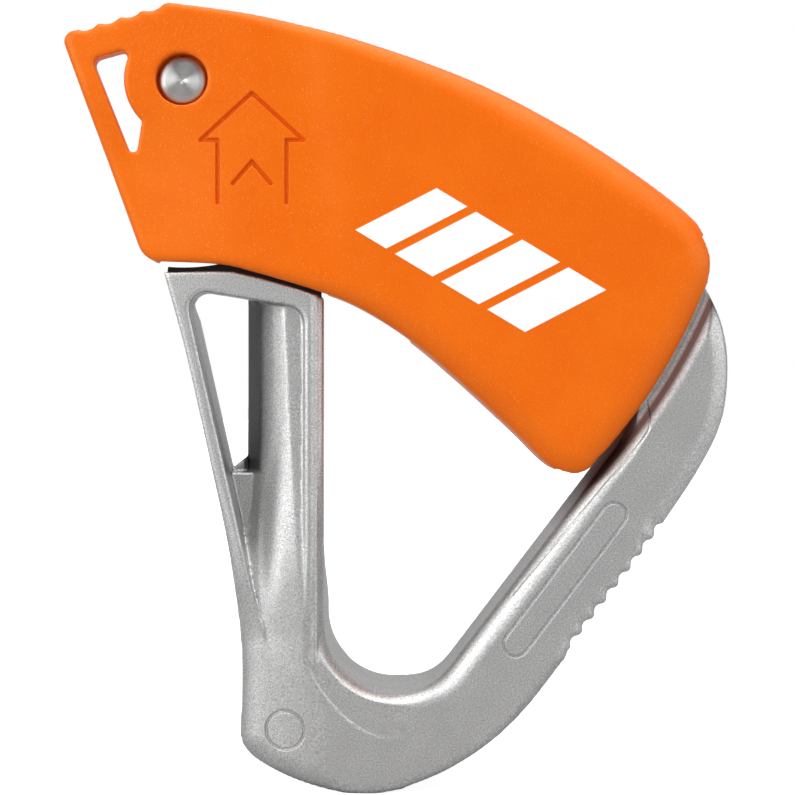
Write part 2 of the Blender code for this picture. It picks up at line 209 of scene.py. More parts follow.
def line_distance(points, u, v):
    """Distance to an open run of points."""
    nearest = np.full(u.shape, 1e9)
    for (ax, ay), (bx, by) in zip(points, points[1:]):
        dx, dy = bx - ax, by - ay
        px, py = u - ax, v - ay
        t = np.clip((px * dx + py * dy) / (dx * dx + dy * dy + 1e-12), 0.0, 1.0)
        nearest = np.minimum(nearest, (px - t * dx) ** 2 + (py - t * dy) ** 2)
    return np.sqrt(nearest)


def ramp(value, start, end):
    """A smooth step from 0 at start to 1 at end."""
    t = np.clip((value - start) / (end - start), 0.0, 1.0)
    return t * t * (3 - 2 * t)


def quarter_round(depth_inside, width, drop):
    """How far an edge falls back, at a distance inside the edge: a quarter of an ellipse."""
    t = np.clip(1.0 - depth_inside / width, 0.0, 1.0)
    return drop * (1.0 - np.sqrt(np.clip(1.0 - t * t, 0.0, 1.0)))


def union(a, b, blend=0.0):
    if blend == 0.0:
        return np.minimum(a, b)
    gap = np.clip(blend - np.abs(a - b), 0.0, None) / blend
    return np.minimum(a, b) - gap * gap * blend / 4


def cut(a, b, blend=0.0):
    return -union(-a, b, blend)


class Block:
    """A box of grid points with the fields of solids on it."""

    def __init__(self, low, high):
        margin = 3 * STEP + 0.8
        self.low = [value - margin for value in low]
        counts = [int(math.ceil((h + margin - l) / STEP)) + 1 for l, h in zip(self.low, high)]
        self.x, self.y, self.z = (
            (l + STEP * np.arange(n)).astype(np.float32) for l, n in zip(self.low, counts)
        )
        self.front_x, self.front_z = np.meshgrid(self.x, self.z, indexing="ij")
        self.top_x, self.top_y = np.meshgrid(self.x, self.y, indexing="ij")

    def slab(self, outline, front, back, front_round=0.0, back_round=0.0):
        """An outline or its distance, extruded along Y with rounded edges."""
        flat = self.seen_from_front(outline)[:, None, :]
        near = (self.y < (front + back) / 2)[None, :, None]
        if np.ndim(front_round) == 2:
            front_round = front_round[:, None, :]
        rounds = np.where(near, front_round, back_round)
        deep = (np.maximum(front - self.y, self.y - back)).astype(np.float32)[None, :, None]
        side, end = flat + rounds, deep + rounds
        out = np.sqrt(np.clip(side, 0, None) ** 2 + np.clip(end, 0, None) ** 2)
        return (np.minimum(np.maximum(side, end), 0.0) + out - rounds).astype(np.float32)

    def seen_from_front(self, outline):
        if isinstance(outline, np.ndarray):
            return outline
        return outline_distance(outline, self.front_x, self.front_z)

    def post(self, outline, bottom, top, blend=0.0):
        """An outline seen from above, extruded along Z."""
        flat = outline_distance(outline, self.top_x, self.top_y)[:, :, None]
        tall = np.maximum(bottom - self.z, self.z - top)[None, None, :]
        side, end = flat + blend, tall + blend
        out = np.sqrt(np.clip(side, 0, None) ** 2 + np.clip(end, 0, None) ** 2)
        return (np.minimum(np.maximum(side, end), 0.0) + out - blend).astype(np.float32)

    def pin(self, centre, radius, front, back, blend=0.0):
        """A round bar along Y."""
        flat = np.hypot(self.front_x - centre[0], self.front_z - centre[1]) - radius
        return self.slab(flat.astype(np.float32), front, back, blend, blend)

    def behind(self, height):
        """Everything behind a front surface given as Y over the front view."""
        return (height[:, None, :] - self.y[None, :, None]).astype(np.float32)

    def before(self, height):
        """Everything in front of a back surface given as Y over the front view."""
        return -self.behind(height)

    def mesh(self, name, field):
        """The surface of the field as a mesh object."""
        grid = openvdb.FloatGrid(BAND)
        grid.copyFromArray(np.clip(field, -BAND, BAND).astype(np.float32))
        points, quads = grid.convertToQuads(0.0)
        points = (points * STEP + np.array(self.low)) * MM
        data = bpy.data.meshes.new(name)
        data.vertices.add(len(points))
        data.vertices.foreach_set("co", points.astype(np.float32).ravel())
        data.loops.add(4 * len(quads))
        data.loops.foreach_set("vertex_index", quads.astype(np.int32).ravel())
        data.polygons.add(len(quads))
        data.polygons.foreach_set("loop_start", np.arange(0, 4 * len(quads), 4, dtype=np.int32))
        data.update(calc_edges=True)
        data.validate()
        if signed_volume(data) < 0:
            data.flip_normals()
        data.shade_smooth()
        return add_object(name, data)


def add_object(name, data):
    thing = bpy.data.objects.new(name, data)
    bpy.context.scene.collection.objects.link(thing)
    return thing


def object_from(name, shape):
    """An object made of a finished bmesh, with its faces turned outwards."""
    bmesh.ops.recalc_face_normals(shape, faces=shape.faces)
    data = bpy.data.meshes.new(name)
    shape.to_mesh(data)
    shape.free()
    return add_object(name, data)


def signed_volume(data):
    """Six times the volume inside a closed mesh of quads; negative when it is inside out."""
    points = np.empty(len(data.vertices) * 3, dtype=np.float32)
    data.vertices.foreach_get("co", points)
    points = points.reshape(-1, 3).astype(np.float64)
    corners = np.empty(len(data.loops), dtype=np.int32)
    data.loops.foreach_get("vertex_index", corners)
    a, b, c, d = points[corners.reshape(-1, 4)].transpose(1, 0, 2)
    return float((a * np.cross(b, c)).sum() + (a * np.cross(c, d)).sum())


def engrave(piece, paths, width, depth):
    """Cuts a groove along paths in the front face, after dividing the faces around it finely."""
    data = piece.data
    for reach in (width / 2 + 1.6 * STEP, width / 2 + 0.8 * STEP):
        centres = read_vectors(data.polygons, "center")
        normals = read_vectors(data.polygons, "normal")
        near = (normals[:, 1] < -0.6) & (path_distance(paths, centres) < reach)
        shape = bmesh.new()
        shape.from_mesh(data)
        shape.faces.ensure_lookup_table()
        edges = {edge for index in np.nonzero(near)[0] for edge in shape.faces[index].edges}
        bmesh.ops.subdivide_edges(shape, edges=list(edges), cuts=1, use_grid_fill=True)
        shape.to_mesh(data)
        shape.free()
    points = read_vectors(data.vertices, "co")
    normals = read_vectors(data.vertices, "normal")
    gap = path_distance(paths, points)
    sunk = depth * MM * (1.0 - ramp(gap, width * 0.25, width * 0.6))
    points[:, 1] += np.where(normals[:, 1] < -0.5, sunk, 0.0)
    data.vertices.foreach_set("co", points.astype(np.float32).ravel())
    data.shade_smooth()
    data.update()


def read_vectors(items, name):
    values = np.empty(3 * len(items), dtype=np.float32)
    items.foreach_get(name, values)
    return values.reshape(-1, 3).astype(np.float64)


def path_distance(paths, points):
    """Distance seen from the front, in millimetres, from each point to the nearest path."""
    u, v = points[:, 0] / MM, points[:, 2] / MM
    return np.minimum.reduce([line_distance(path, u, v) for path in paths])


# The frame.

def eye_side(length):
    """A point on the eye's slanted side, measured from the end of the seat."""
    start = polar((0.0, 0.0), EYE_RADIUS, EYE_LEAN - 90)
    return polar(start, length, EYE_LEAN)


LEG_INNER = smooth([eye_side(28.0), (24.0, 20.9), (24.1, 23.0)]) + arc(PIVOT, KNUCKLE_REACH, -33.0, -22.5, 6)
BAR_LOWER = smooth([(28.6, 34.9), (23.5, 35.9), (9.5, 40.9), (3.4, 42.2)])
BAR_UPPER = smooth([(3.4, 51.3), (12.0, 47.3), (20.0, 42.8), (26.0, 39.0), (29.6, 36.4)])
LEG_OUTER = smooth([(31.5, 34.0), (33.1, 30.3), (33.7, 25.9), (33.05, 20.5), (30.7, 15.6), (27.2, 10.3)])
LEG_GRIP = scallops((27.2, 10.2), (17.5, -2.7), 8, 0.45)
LEG_BOTTOM = smooth([(17.3, -3.4), (13.1, -8.75), (9.05, -12.35), (4.95, -14.85), (0.9, -16.5)])
LEG_SEAM = smooth([(11.9, 3.0), (14.9, 6.6), (20.0, 12.65), (25.0, 18.7), (25.7, 20.6), (25.5, 22.7)])
FACE_BAR = smooth([
    (-23.15, 35.5), (-20.95, 27.5), (-18.55, 16.7), (-16.55, 6.6), (-15.6, -3.5), (-15.75, -11.4),
])
FACE_BOTTOM = smooth([
    (-15.55, -12.4), (-14.4, -13.7), (-11.4, -15.3), (-7.3, -16.65),
    (-3.2, -17.05), (-1.2, -16.95), (0.9, -16.5),
])
SHOULDER = [(-EYE_RADIUS, 33.0), (-9.5, 33.85), (-13.2, 34.9), (-16.2, 35.6), (-18.0, 35.65)]
SEAT = arc((0.0, 0.0), EYE_RADIUS, -180.0, EYE_LEAN - 90, 24)


def eye_outline():
    """The whole opening, up to the hidden top bar."""
    return SEAT + LEG_INNER + BAR_LOWER + [(-EYE_RADIUS, 44.0)]


def leg_outline():
    """The V-shaped bottom, the slanted leg, the knuckle and the hidden top bar."""
    outer_side = LEG_OUTER + LEG_GRIP + LEG_BOTTOM + [(-5.6, -16.9)]
    return SEAT + LEG_INNER + BAR_LOWER + BAR_UPPER + outer_side


def face_outline():
    """The thin front of the left leg: slanted bar, foot, the seat's left end and the shoulder."""
    seat_end = arc((0.0, 0.0), EYE_RADIUS, -115.0, -180.0, 12)
    return FACE_BAR + FACE_BOTTOM + seat_end + SHOULDER


def recess_outline():
    """The open panel of the left leg: the window on its left, and the rope channel's wall behind."""
    bar_side = smooth([(-20.56, 31.4), (-18.9, 24.0), (-16.35, 12.8), (-14.3, 3.5), (-12.75, -1.8)])
    top = arc((-10.95, 30.35), 1.85, 0.0, 78.0, 8) + arc((-18.85, 31.8), 1.75, 81.0, 192.0, 12)
    return bar_side + [(-11.6, -3.6), (-9.1, -3.6)] + top


def recess_surface(x, z):
    """The channel wall seen in the panel: a round wall cut by a flat floor, rising to the face below."""
    offset = np.clip(x - CHANNEL[0], -CHANNEL_OUTER, CHANNEL_OUTER)
    wall = CHANNEL[1] - np.sqrt(CHANNEL_OUTER ** 2 - offset ** 2)
    wall = np.maximum(wall, 3.1 * (-13.85 - x) - 4.1)
    down = (30.0 - z) / 33.4
    floor = -6.62 - 0.89 * down
    aside = -11.1 + 2.0 * down - x
    low = floor + 0.42 * aside + 0.03 * np.clip(aside, 0.0, None) ** 2
    swell = ramp(-z, -24.0, 0.0)
    surface = np.maximum(wall * (1 - swell) + low * swell, floor)
    fade_start = -22.0 + 9.0 * ramp(-x, 11.0, 13.5)
    return surface + (FRAME_FACE + sweep(x, z) - surface) * ramp(-z, fade_start, 4.5)


def sweep(x, z):
    """How far the face falls back towards the left of the foot."""
    return 0.016 * (np.clip(-5.5 - x, 0.0, 10.0) * ramp(-z, -9.0, 2.0)) ** 2


def frame_front(block):
    """The casting's front surface: Y over the front view."""
    x, z = block.front_x, block.front_z
    from_eye = outline_distance(eye_outline(), x, z)
    silhouette = outline_distance(face_outline(), x, z)
    leg = outline_distance(leg_outline(), x, z)
    inside = -np.minimum(silhouette, leg)
    reach = np.hypot(x - PIVOT[0], z - PIVOT[1])

    # A bevel around the eye: narrow and stepped on the left, wide and plain along the right leg.
    right = ramp(x, -1.0, 8.5)
    seat = ramp(-z, -3.0, 5.0) * (1 - right)
    width = 0.9 - 0.1 * seat + 1.2 * right
    t = np.clip(1.0 - from_eye / width, 0.0, 1.0)
    surface = FRAME_FACE + (0.42 + 0.43 * right) * t ** (1.1 + 0.4 * right)
    surface += 0.28 * (1 - ramp(from_eye, width, width + 0.35)) * (1 - right) * (1 - 0.8 * seat)
    rim = 0.2 + 0.25 * ramp(x, -14.0, -11.0)
    surface += quarter_round(outline_distance(recess_outline(), x, z), rim, 0.8 * rim)

    # A slightly sunk band under the eye, which ends at a fine crease.
    crease = 2.5 + 1.7 * ramp(x, -9.0, -1.0)
    sunk = ramp(from_eye, width, width + 0.4) * (1 - ramp(from_eye, crease - 0.12, crease + 0.12))
    surface += 0.15 * sunk * ramp(-z, 1.0, 5.0) * (1 - ramp(x, -2.0, 3.0))

    # The outer edge: widest round the foot, narrow up the slanted bar and on the knuckle.
    left_leg = ramp(-x, 4.0, 8.0)
    outer_width = 1.15 + 1.3 * left_leg * ramp(-z, -12.0, 2.0)
    outer_width = outer_width * (1 - 0.75 * left_leg * ramp(z, 6.0, 20.0))
    outer_width = outer_width * (1 - 0.6 * ramp(x, 18.0, 26.0))
    surface += quarter_round(inside, outer_width, 0.75 * outer_width)
    surface += sweep(x, z)

    # The knuckle's outer bevel, which runs out above and below the grip.
    bevel = 1.7 * ramp(x + 0.6 * z, 27.0, 33.0)
    bevel = np.maximum(bevel, 1.2 * ramp(x, 9.0, 14.0) * (1 - ramp(z, -4.5, -2.5)))
    surface += 0.36 * bevel * np.clip(1.0 - inside / np.maximum(bevel, 0.01), 0.0, 1.0) ** 1.3

    knuckle = ramp(x, 2.0, 4.0)
    cove = 1 - ramp(reach, RECESS_REACH - 0.9, RECESS_REACH + 1.2)
    floor = PLATE_FRONT - FRAME_FACE
    return np.maximum(surface, FRAME_FACE + floor * cove * knuckle)


def frame_back(block):
    """The back surface, which falls away towards the eye on the right and to the thin foot on the left."""
    x, z = block.front_x, block.front_z
    from_eye = outline_distance(eye_outline(), x, z)
    foot = ramp(from_eye, 1.5, 7.0) * ramp(-x, -1.0, 6.0)
    surface = FRAME_BACK + (PLATE_BACK + 0.6 - FRAME_BACK) * foot
    return surface - quarter_round(from_eye, 4.5, 5.5) * ramp(x, -1.0, 6.0)


def saddle(block):
    """The left end of the seat, which rises into the edge of the rope channel as it runs out."""
    seat = arc((0.0, 0.0), EYE_RADIUS, -180.0, -135.0, 8)
    outline = seat + [(-5.5, -12.0), (-9.0, -10.0), (-9.0, 8.0), (-EYE_RADIUS, 8.0)]
    back = PLATE_BACK + (FRAME_BACK - PLATE_BACK) * ramp(-block.front_z, -8.0, -0.5)
    solid = block.slab(outline, -6.0, FRAME_BACK, 0.0, 0.3)
    return np.maximum(solid, block.before(back))


def channel_outline():
    """The rope channel's wall seen from above."""
    outer = arc(CHANNEL, CHANNEL_OUTER, CHANNEL_MOUTH, CHANNEL_LIP, 30)
    inner = arc(CHANNEL, CHANNEL_INNER, CHANNEL_LIP, CHANNEL_MOUTH, 30)
    return outer + inner


def build_frame():
    block = Block(*cad_box("frame"))
    leg = block.slab(leg_outline(), FRAME_FACE, FRAME_BACK, 0.25, 0.9)
    reach = np.hypot(block.front_x - PIVOT[0], block.front_z - PIVOT[1])
    knuckle = np.maximum(reach - RECESS_REACH, 3.0 - block.front_x)
    leg = cut(leg, block.slab(knuckle, KNUCKLE_BACK, BEYOND), 0.3)
    leg = np.maximum(leg, block.before(frame_back(block)))

    face = block.slab(face_outline(), FRAME_FACE, PLATE_BACK + 0.9, 0.15, 0.6)
    recess = recess_outline()
    face = cut(face, block.slab(recess, FRAME_FACE - 2.0, PLATE_BACK + 2.0), 0.2)
    bar_side = [(-24.0, 36.0), (-17.5, 36.0), (-17.5, 31.0), (-11.6, -3.5), (-24.0, -3.5)]
    bar_outline = np.maximum.reduce([
        block.seen_from_front(face_outline()) + 0.3,
        -block.seen_from_front(recess),
        block.seen_from_front(bar_side),
    ])
    bar_back = 1.9
    taper = bar_back + (PLATE_BACK - bar_back) * ramp(block.front_z, 31.0, 33.4)
    bar = block.slab(bar_outline, PLATE_BACK - 0.6, bar_back, 0.0, 0.3)
    face = union(face, np.maximum(bar, block.before(taper)), 0.2)
    field = union(leg, face, 0.4)
    field = np.maximum(field, block.behind(frame_front(block)))

    surface = recess_surface(block.front_x, block.front_z)
    panel = block.seen_from_front(recess)
    open_front = np.maximum(panel[:, None, :], block.before(surface))
    wall = block.post(channel_outline(), CHANNEL_BOTTOM, CHANNEL_TOP, 0.2)
    swelling = block.slab(np.maximum(panel - 0.2, block.front_z - 24.0), FRAME_FACE, -2.0)
    wall = union(wall, np.maximum(swelling, block.behind(surface)), 0.1)
    field = union(field, cut(wall, open_front), 0.12)
    web = [(-17.2, 15.2), (-14.3, 15.2), (-13.9, -3.0), (-15.0, -3.0), (-15.9, 6.6)]
    field = union(field, block.slab(web, -3.0, 0.4, 0.15, 0.15), 0.15)
    step = [(-17.0, 15.5), (-15.1, 17.0), (-14.3, 17.0), (-14.3, 14.8), (-17.0, 14.8)]
    field = union(field, block.slab(step, -0.6, 2.6, 0.1, 0.1), 0.1)
    bore = arc(CHANNEL, CHANNEL_INNER, 0.0, 360.0, 72)[:-1]
    field = cut(field, block.post(bore, CHANNEL_BOTTOM, CHANNEL_TOP))
    field = union(field, saddle(block), 0.1)

    neck = [
        (-7.5, 33.0), (-7.5, 41.0), (-6.0, 42.3), (4.5, 42.6), (4.5, 50.6), (-4.0, 54.0), (-10.0, 56.0),
        (-18.0, 58.0), PIVOT, (-17.6, 48.0), (-16.6, 34.9),
    ]
    field = union(field, block.slab(neck, PLATE_FRONT, PLATE_BACK, 0.2, 0.2), 0.3)
    field = cut(field, block.pin(PIVOT, BOSS_RADIUS - 0.3, BEFORE, BOSS_FRONT))
    field = union(field, block.pin(PIVOT, BOSS_RADIUS, BOSS_FRONT + 0.01, BOSS_BACK, 0.2))
    field = cut(field, block.pin(PIVOT, BUSH_BORE, BEFORE, BEYOND))
    field = cut(field, block.pin(PIVOT, SPRING_POCKET_RADIUS, SPRING_POCKET_FRONT, BEYOND))
    piece = block.mesh("frame_casting", field)
    engrave(piece, frame_marks(), 0.3, 0.22)
    engrave(piece, [LEG_SEAM], 0.2, 0.07)
    return piece


def frame_marks():
    """The ejector pin's ring and a plain oblong along the leg."""
    ring = arc((-11.0, -10.6), 1.93, 0.0, 360.0, 32)
    foot = (10.9, -3.6)
    start, end = polar(foot, 2.2, EYE_LEAN), polar(foot, 18.5, EYE_LEAN)
    half_width = 1.25
    far_end = arc(end, half_width, EYE_LEAN - 90, EYE_LEAN + 90, 10)
    near_end = arc(start, half_width, EYE_LEAN + 90, EYE_LEAN + 270, 10)
    return [ring, far_end + near_end + far_end[:1]]


# The arm.

ARM_TOP = [
    (-22.7, 62.5), (-15.45, 61.55), (-9.5, 60.42), (-0.6, 57.98),
    (8.75, 54.55), (17.2, 50.25), (24.2, 45.75), (29.35, 41.85),
]
ARM_NOSE = [(29.35, 41.85), (31.15, 39.8), (32.1, 37.0), (31.7, 34.0)]
ARM_TIP = [(20.7, 16.7), (19.6, 15.5), (17.9, 15.1), (15.6, 16.05)]
ARM_LOWER = [(15.6, 16.05), (12.1, 19.45), (6.7, 24.45), (1.3, 28.95), (-4.0, 32.2), (-8.8, 34.0)]
ARM_SHOULDER = [(-8.8, 34.0), (-13.6, 35.4), (-17.4, 36.3), (-23.4, 36.6)]


def arm_outline():
    edge = arc(PIVOT, ARM_REACH - SKIN, -24.5, -41.0, 10)
    corner = arc((-23.5, 38.9), 2.3, 270.0, 200.0, 5)
    tab = arc((-31.95, 58.6), 1.1, 200.0, 95.0, 6)
    grip = scallops((-31.6, 59.75), (-22.9, 62.35), 4, 0.3, 0.85)
    lower = smooth(ARM_TIP + ARM_LOWER[1:])[1:-1] + smooth(ARM_SHOULDER)
    return smooth(ARM_TOP + ARM_NOSE[1:])[:-1] + edge + lower + corner + tab + grip[:-1]


def arm_cavity(left):
    """The hollow of the arm: inside its top wall and bottom flange, open for the neck and the knuckle."""
    wall = 1.6
    top = sideways(smooth(ARM_TOP[1:], 3), wall)
    mouth = [(29.3, 39.2), (40.0, 39.2), (40.0, 10.0), (15.4, 10.0)]
    lower = sideways(smooth(ARM_LOWER[:-1] + [(-7.2, 33.4)], 3), wall)
    return top + mouth + lower + [(-7.2, 30.0)] + left


def edge_fullness(x, z):
    """How full the arm's edge is: 0 by the pivot, 1 at the nose and the tip."""
    return ramp(x * 0.8 - (z - 45.0) * 0.35, -14.0, 16.0)


def arm_front(x, z):
    """The arm's face: it falls back to the left, and a low ridge stands right of the arrow."""
    lean = x + 0.125 * (z - 47.0)
    hollow = 0.22 * (ramp(lean, -13.0, -8.8) - ramp(lean, -8.4, -4.8))
    palm = 0.28 * ramp(lean, -4.4, 1.4)
    fade = ramp(z, 33.0, 40.0)
    left = 0.7 * ramp(-x, 14.0, 27.0) * (1 - ramp(z, 45.0, 55.0))
    return ARM_FACE + (hollow + palm) * fade + 0.28 * (1 - fade) * ramp(lean, -13.0, 1.4) + left


def arm_crown(x, z):
    """How far the face falls back towards the arm's outline, beyond the edge's own small radius."""
    inside = -outline_distance(arm_outline(), x, z)
    top_edge = ramp(z + 0.42 * x, 48.0, 55.0) * ramp(x, -19.0, -8.0)
    width = 0.8 + 2.2 * edge_fullness(x, z) + 0.9 * top_edge
    return quarter_round(inside, width, 0.6 * width)


def build_arm_front():
    low, high = cad_box("arm_front_shell")
    block = Block(low, high)
    rounding = (0.5 + 0.4 * edge_fullness(block.front_x, block.front_z)).astype(np.float32)
    seam = high[1]
    inner = low[1] + 1.7
    field = block.slab(arm_outline(), ARM_FACE, seam, rounding, 0.0)
    face = arm_front(block.front_x, block.front_z) + arm_crown(block.front_x, block.front_z)
    field = np.maximum(field, block.behind(face))
    around_boss = arc(PIVOT, 4.95, 215.0, 100.0, 10)
    left = [(-24.2, 30.0), (-24.2, 39.5), (-25.2, 43.0), (-24.9, 46.0), (-24.2, 48.6)] + around_boss
    cavity = arm_cavity(left + [(-21.5, 60.7)])
    field = cut(field, block.slab(cavity, inner, BEYOND), 0.3)
    beside_rope = rectangle(-13.0, 1.6, 20.0, 70.0)
    left_of_rope = rectangle(-40.0, -12.9, 20.0, 70.0)
    tab = rectangle(-40.0, -26.6, 45.0, 70.0)
    field = cut(field, block.slab(beside_rope, -5.2, BEYOND), 0.2)
    field = cut(field, block.slab(left_of_rope, -1.9, BEYOND))
    field = cut(field, block.slab(tab, -6.8, BEYOND), 0.3)
    hole_top = arc((-29.3, 56.3), 0.7, 195.0, 105.0, 4) + arc((-27.4, 56.9), 0.7, 80.0, 10.0, 4)
    hole_foot = arc(PIVOT, 5.8, 158.0, 226.0, 12) + arc((-26.2, 48.1), 0.55, 320.0, 200.0, 5)
    field = cut(field, block.slab(hole_top + hole_foot, BEFORE, BEYOND), 0.35)
    field = union(field, block.pin(PIVOT, 4.0, inner - 0.5, -6.3, 0.1), 0.2)
    field = cut(field, block.pin(PIVOT, 2.62, BEFORE, HEAD_SEAT), 0.1)
    field = cut(field, block.pin(PIVOT, SHANK + 0.06, BEFORE, BEYOND))
    piece = block.mesh("arm_front_moulding", field)
    engrave(piece, arm_marks(), 0.42, 0.4)
    return piece


def arm_marks():
    """A house-shaped arrow that points up the rope, with a plain chevron inside."""
    apex = (-14.2, 53.35)
    wing, shaft = 5.15, 3.45
    shoulder, foot = 48.65, 42.4
    left = [(apex[0] - shaft, foot), (apex[0] - shaft, shoulder), (apex[0] - wing, shoulder), apex]
    right = [apex, (apex[0] + wing, shoulder), (apex[0] + shaft, shoulder), (apex[0] + shaft, foot)]
    chevron = [(apex[0] - 1.9, 44.3), (apex[0], 46.5), (apex[0] + 1.9, 44.3)]
    return [left, right, chevron]


def build_arm_rear():
    low, high = cad_box("arm_rear_shell")
    block = Block(low, high)
    outline = block.seen_from_front(arm_outline())
    field = block.slab(outline, low[1], ARM_BACK, 0.0, 1.6)
    draft = 0.065 * (block.y - low[1])
    field = np.maximum(field, outline[:, None, :] + draft[None, :, None])
    rope_side = rectangle(-60.0, 1.65, 0.0, 80.0)
    field = cut(field, block.slab(rope_side, BEFORE, BEYOND), 0.4)
    cavity = arm_cavity([(-20.0, 30.0), (-20.0, 60.0)])
    field = cut(field, block.slab(cavity, BEFORE, 5.8), 0.4)
    return block.mesh("arm_rear_moulding", field)


# Print on the arm.

def build_print():
    """Four plain slanted bars printed on the arm's face."""
    centre = (9.8, 36.0)
    lean = math.radians(-31.0)
    bars = [(-9.4, 3.6), (-4.4, 4.4), (1.0, 4.4), (6.4, 4.4)]
    half_height = 3.9
    slant = 2.4
    proud, thickness = 0.03, 0.06
    rows, columns = 14, 10
    shape = bmesh.new()
    for offset, width in bars:
        grid = []
        for i in range(rows + 1):
            v = -half_height + 2 * half_height * i / rows
            row = []
            for k in range(columns + 1):
                u = offset + slant * v / half_height + width * (k / columns - 0.5)
                x = centre[0] + u * math.cos(lean) - v * math.sin(lean)
                z = centre[1] + u * math.sin(lean) + v * math.cos(lean)
                y = float(arm_front(np.float64(x), np.float64(z))) - proud
                row.append(shape.verts.new((x * MM, y * MM, z * MM)))
            grid.append(row)
        for i in range(rows):
            for k in range(columns):
                shape.faces.new((grid[i][k], grid[i][k + 1], grid[i + 1][k + 1], grid[i + 1][k]))
    extruded = bmesh.ops.extrude_face_region(shape, geom=list(shape.faces))
    for item in extruded["geom"]:
        if isinstance(item, bmesh.types.BMVert):
            item.co.y += thickness * MM
    return object_from("arm_print", shape)


# Rivets.

def turned(name, profile, place):
    """A turned piece from (radius, distance along its axis), where place is its matrix; its axis is Z."""
    sides = 96
    shape = bmesh.new()
    rings = []
    for radius, along in profile:
        if radius == 0.0:
            spots = [(0.0, 0.0, along)]
        else:
            ring = [polar((0.0, 0.0), radius, 360.0 * i / sides) for i in range(sides)]
            spots = [(u, v, along) for u, v in ring]
        rings.append([shape.verts.new(place @ Vector(spot) * MM) for spot in spots])
    for first, second in zip(rings, rings[1:]):
        for i in range(sides):
            k = (i + 1) % sides
            corners = [first[i % len(first)], first[k % len(first)], second[k % len(second)],
                       second[i % len(second)]]
            shape.faces.new(list(dict.fromkeys(corners)))
    piece = object_from(name, shape)
    piece.data.shade_smooth()
    piece.data.set_sharp_from_angle(angle=math.radians(40))
    return piece


def build_rivet():
    """The pivot rivet: a flat head with a centre dimple, and its formed tail."""
    low, high = cad_box("pivot_rivet")
    length = high[1] - low[1]
    head = PIVOT[0] - low[0] + 0.06
    tail = 2.1
    dimple = [(0.0, 0.16), (0.12, 0.12), (0.3, 0.03)]
    crown = [(radius, 0.012 * radius ** 2) for radius in (0.42, 0.8, 1.2, 1.6, head - 0.2)]
    head_side = [(head - 0.05, 0.16), (head, 0.3), (head, 0.78), (SHANK, 0.8)]
    tail_side = [
        (SHANK, length - 0.7), (tail, length - 0.69), (tail, length - 0.35), (tail - 0.3, length - 0.12),
        (tail - 0.8, length), (0.0, length),
    ]
    front = Matrix.Translation((PIVOT[0], low[1], PIVOT[1]))
    towards_back = Matrix.Rotation(math.radians(-90), 4, "X")
    return turned("rivet_turned", dimple + crown + head_side + tail_side, front @ towards_back)


def build_insert_rivet(node):
    """A flush rivet through the channel wall, with a low dome on the outside."""
    low, high = cad_box(node)
    height = (low[2] + high[2]) / 2
    x, y = polar(CHANNEL, INSERT_INNER, INSERT_RIVET_ANGLE)
    reach = CHANNEL_OUTER - INSERT_INNER
    profile = [
        (0.0, 0.1), (0.7, 0.12), (0.8, 0.2), (0.8, reach - 0.4), (1.1, reach - 0.1), (1.1, reach + 0.03),
        (0.8, reach + 0.1), (0.0, reach + 0.13),
    ]
    across = Vector((*polar((0.0, 0.0), 1.0, INSERT_RIVET_ANGLE), 0.0))
    turn = across.to_track_quat("Z", "Y").to_matrix().to_4x4()
    return turned(f"{node}_flush", profile, Matrix.Translation((x, y, height)) @ turn)


# Shims on the neck: dark plates that stand in for the shade in the gap under the arm.

def build_shade_shims():
    """Two thin dark plates on the frame's neck, whose edges show as painted shade in the gap under the arm's
    shoulder.
    """
    lower_edge = [(-7.3, 32.4), (-9.5, 33.2), (-13.2, 34.3), (-16.2, 35.0), (-22.9, 35.1)]
    thickness = 0.09
    shape = bmesh.new()
    for radius, front in ((19.1, -7.25), (18.75, -7.14)):
        top = arc(PIVOT, radius, 265.2, 284.0, 12)
        outline = lower_edge + top + [(-15.5, 40.0), (-7.3, 40.0)]
        layers = []
        for y in (front, front + thickness):
            layers.append([shape.verts.new((x * MM, y * MM, z * MM)) for x, z in outline])
        shape.faces.new(layers[0])
        shape.faces.new(layers[1][::-1])
        for i in range(len(outline)):
            k = (i + 1) % len(outline)
            shape.faces.new((layers[0][i], layers[1][i], layers[1][k], layers[0][k]))
    bmesh.ops.recalc_face_normals(shape, faces=shape.faces)
    sharp = [edge for edge in shape.edges if edge.calc_face_angle() > math.radians(40)]
    bmesh.ops.bevel(shape, geom=sharp, offset=0.03 * MM, segments=2, affect="EDGES")
    return object_from("neck_shade_shims", shape)


# Materials.

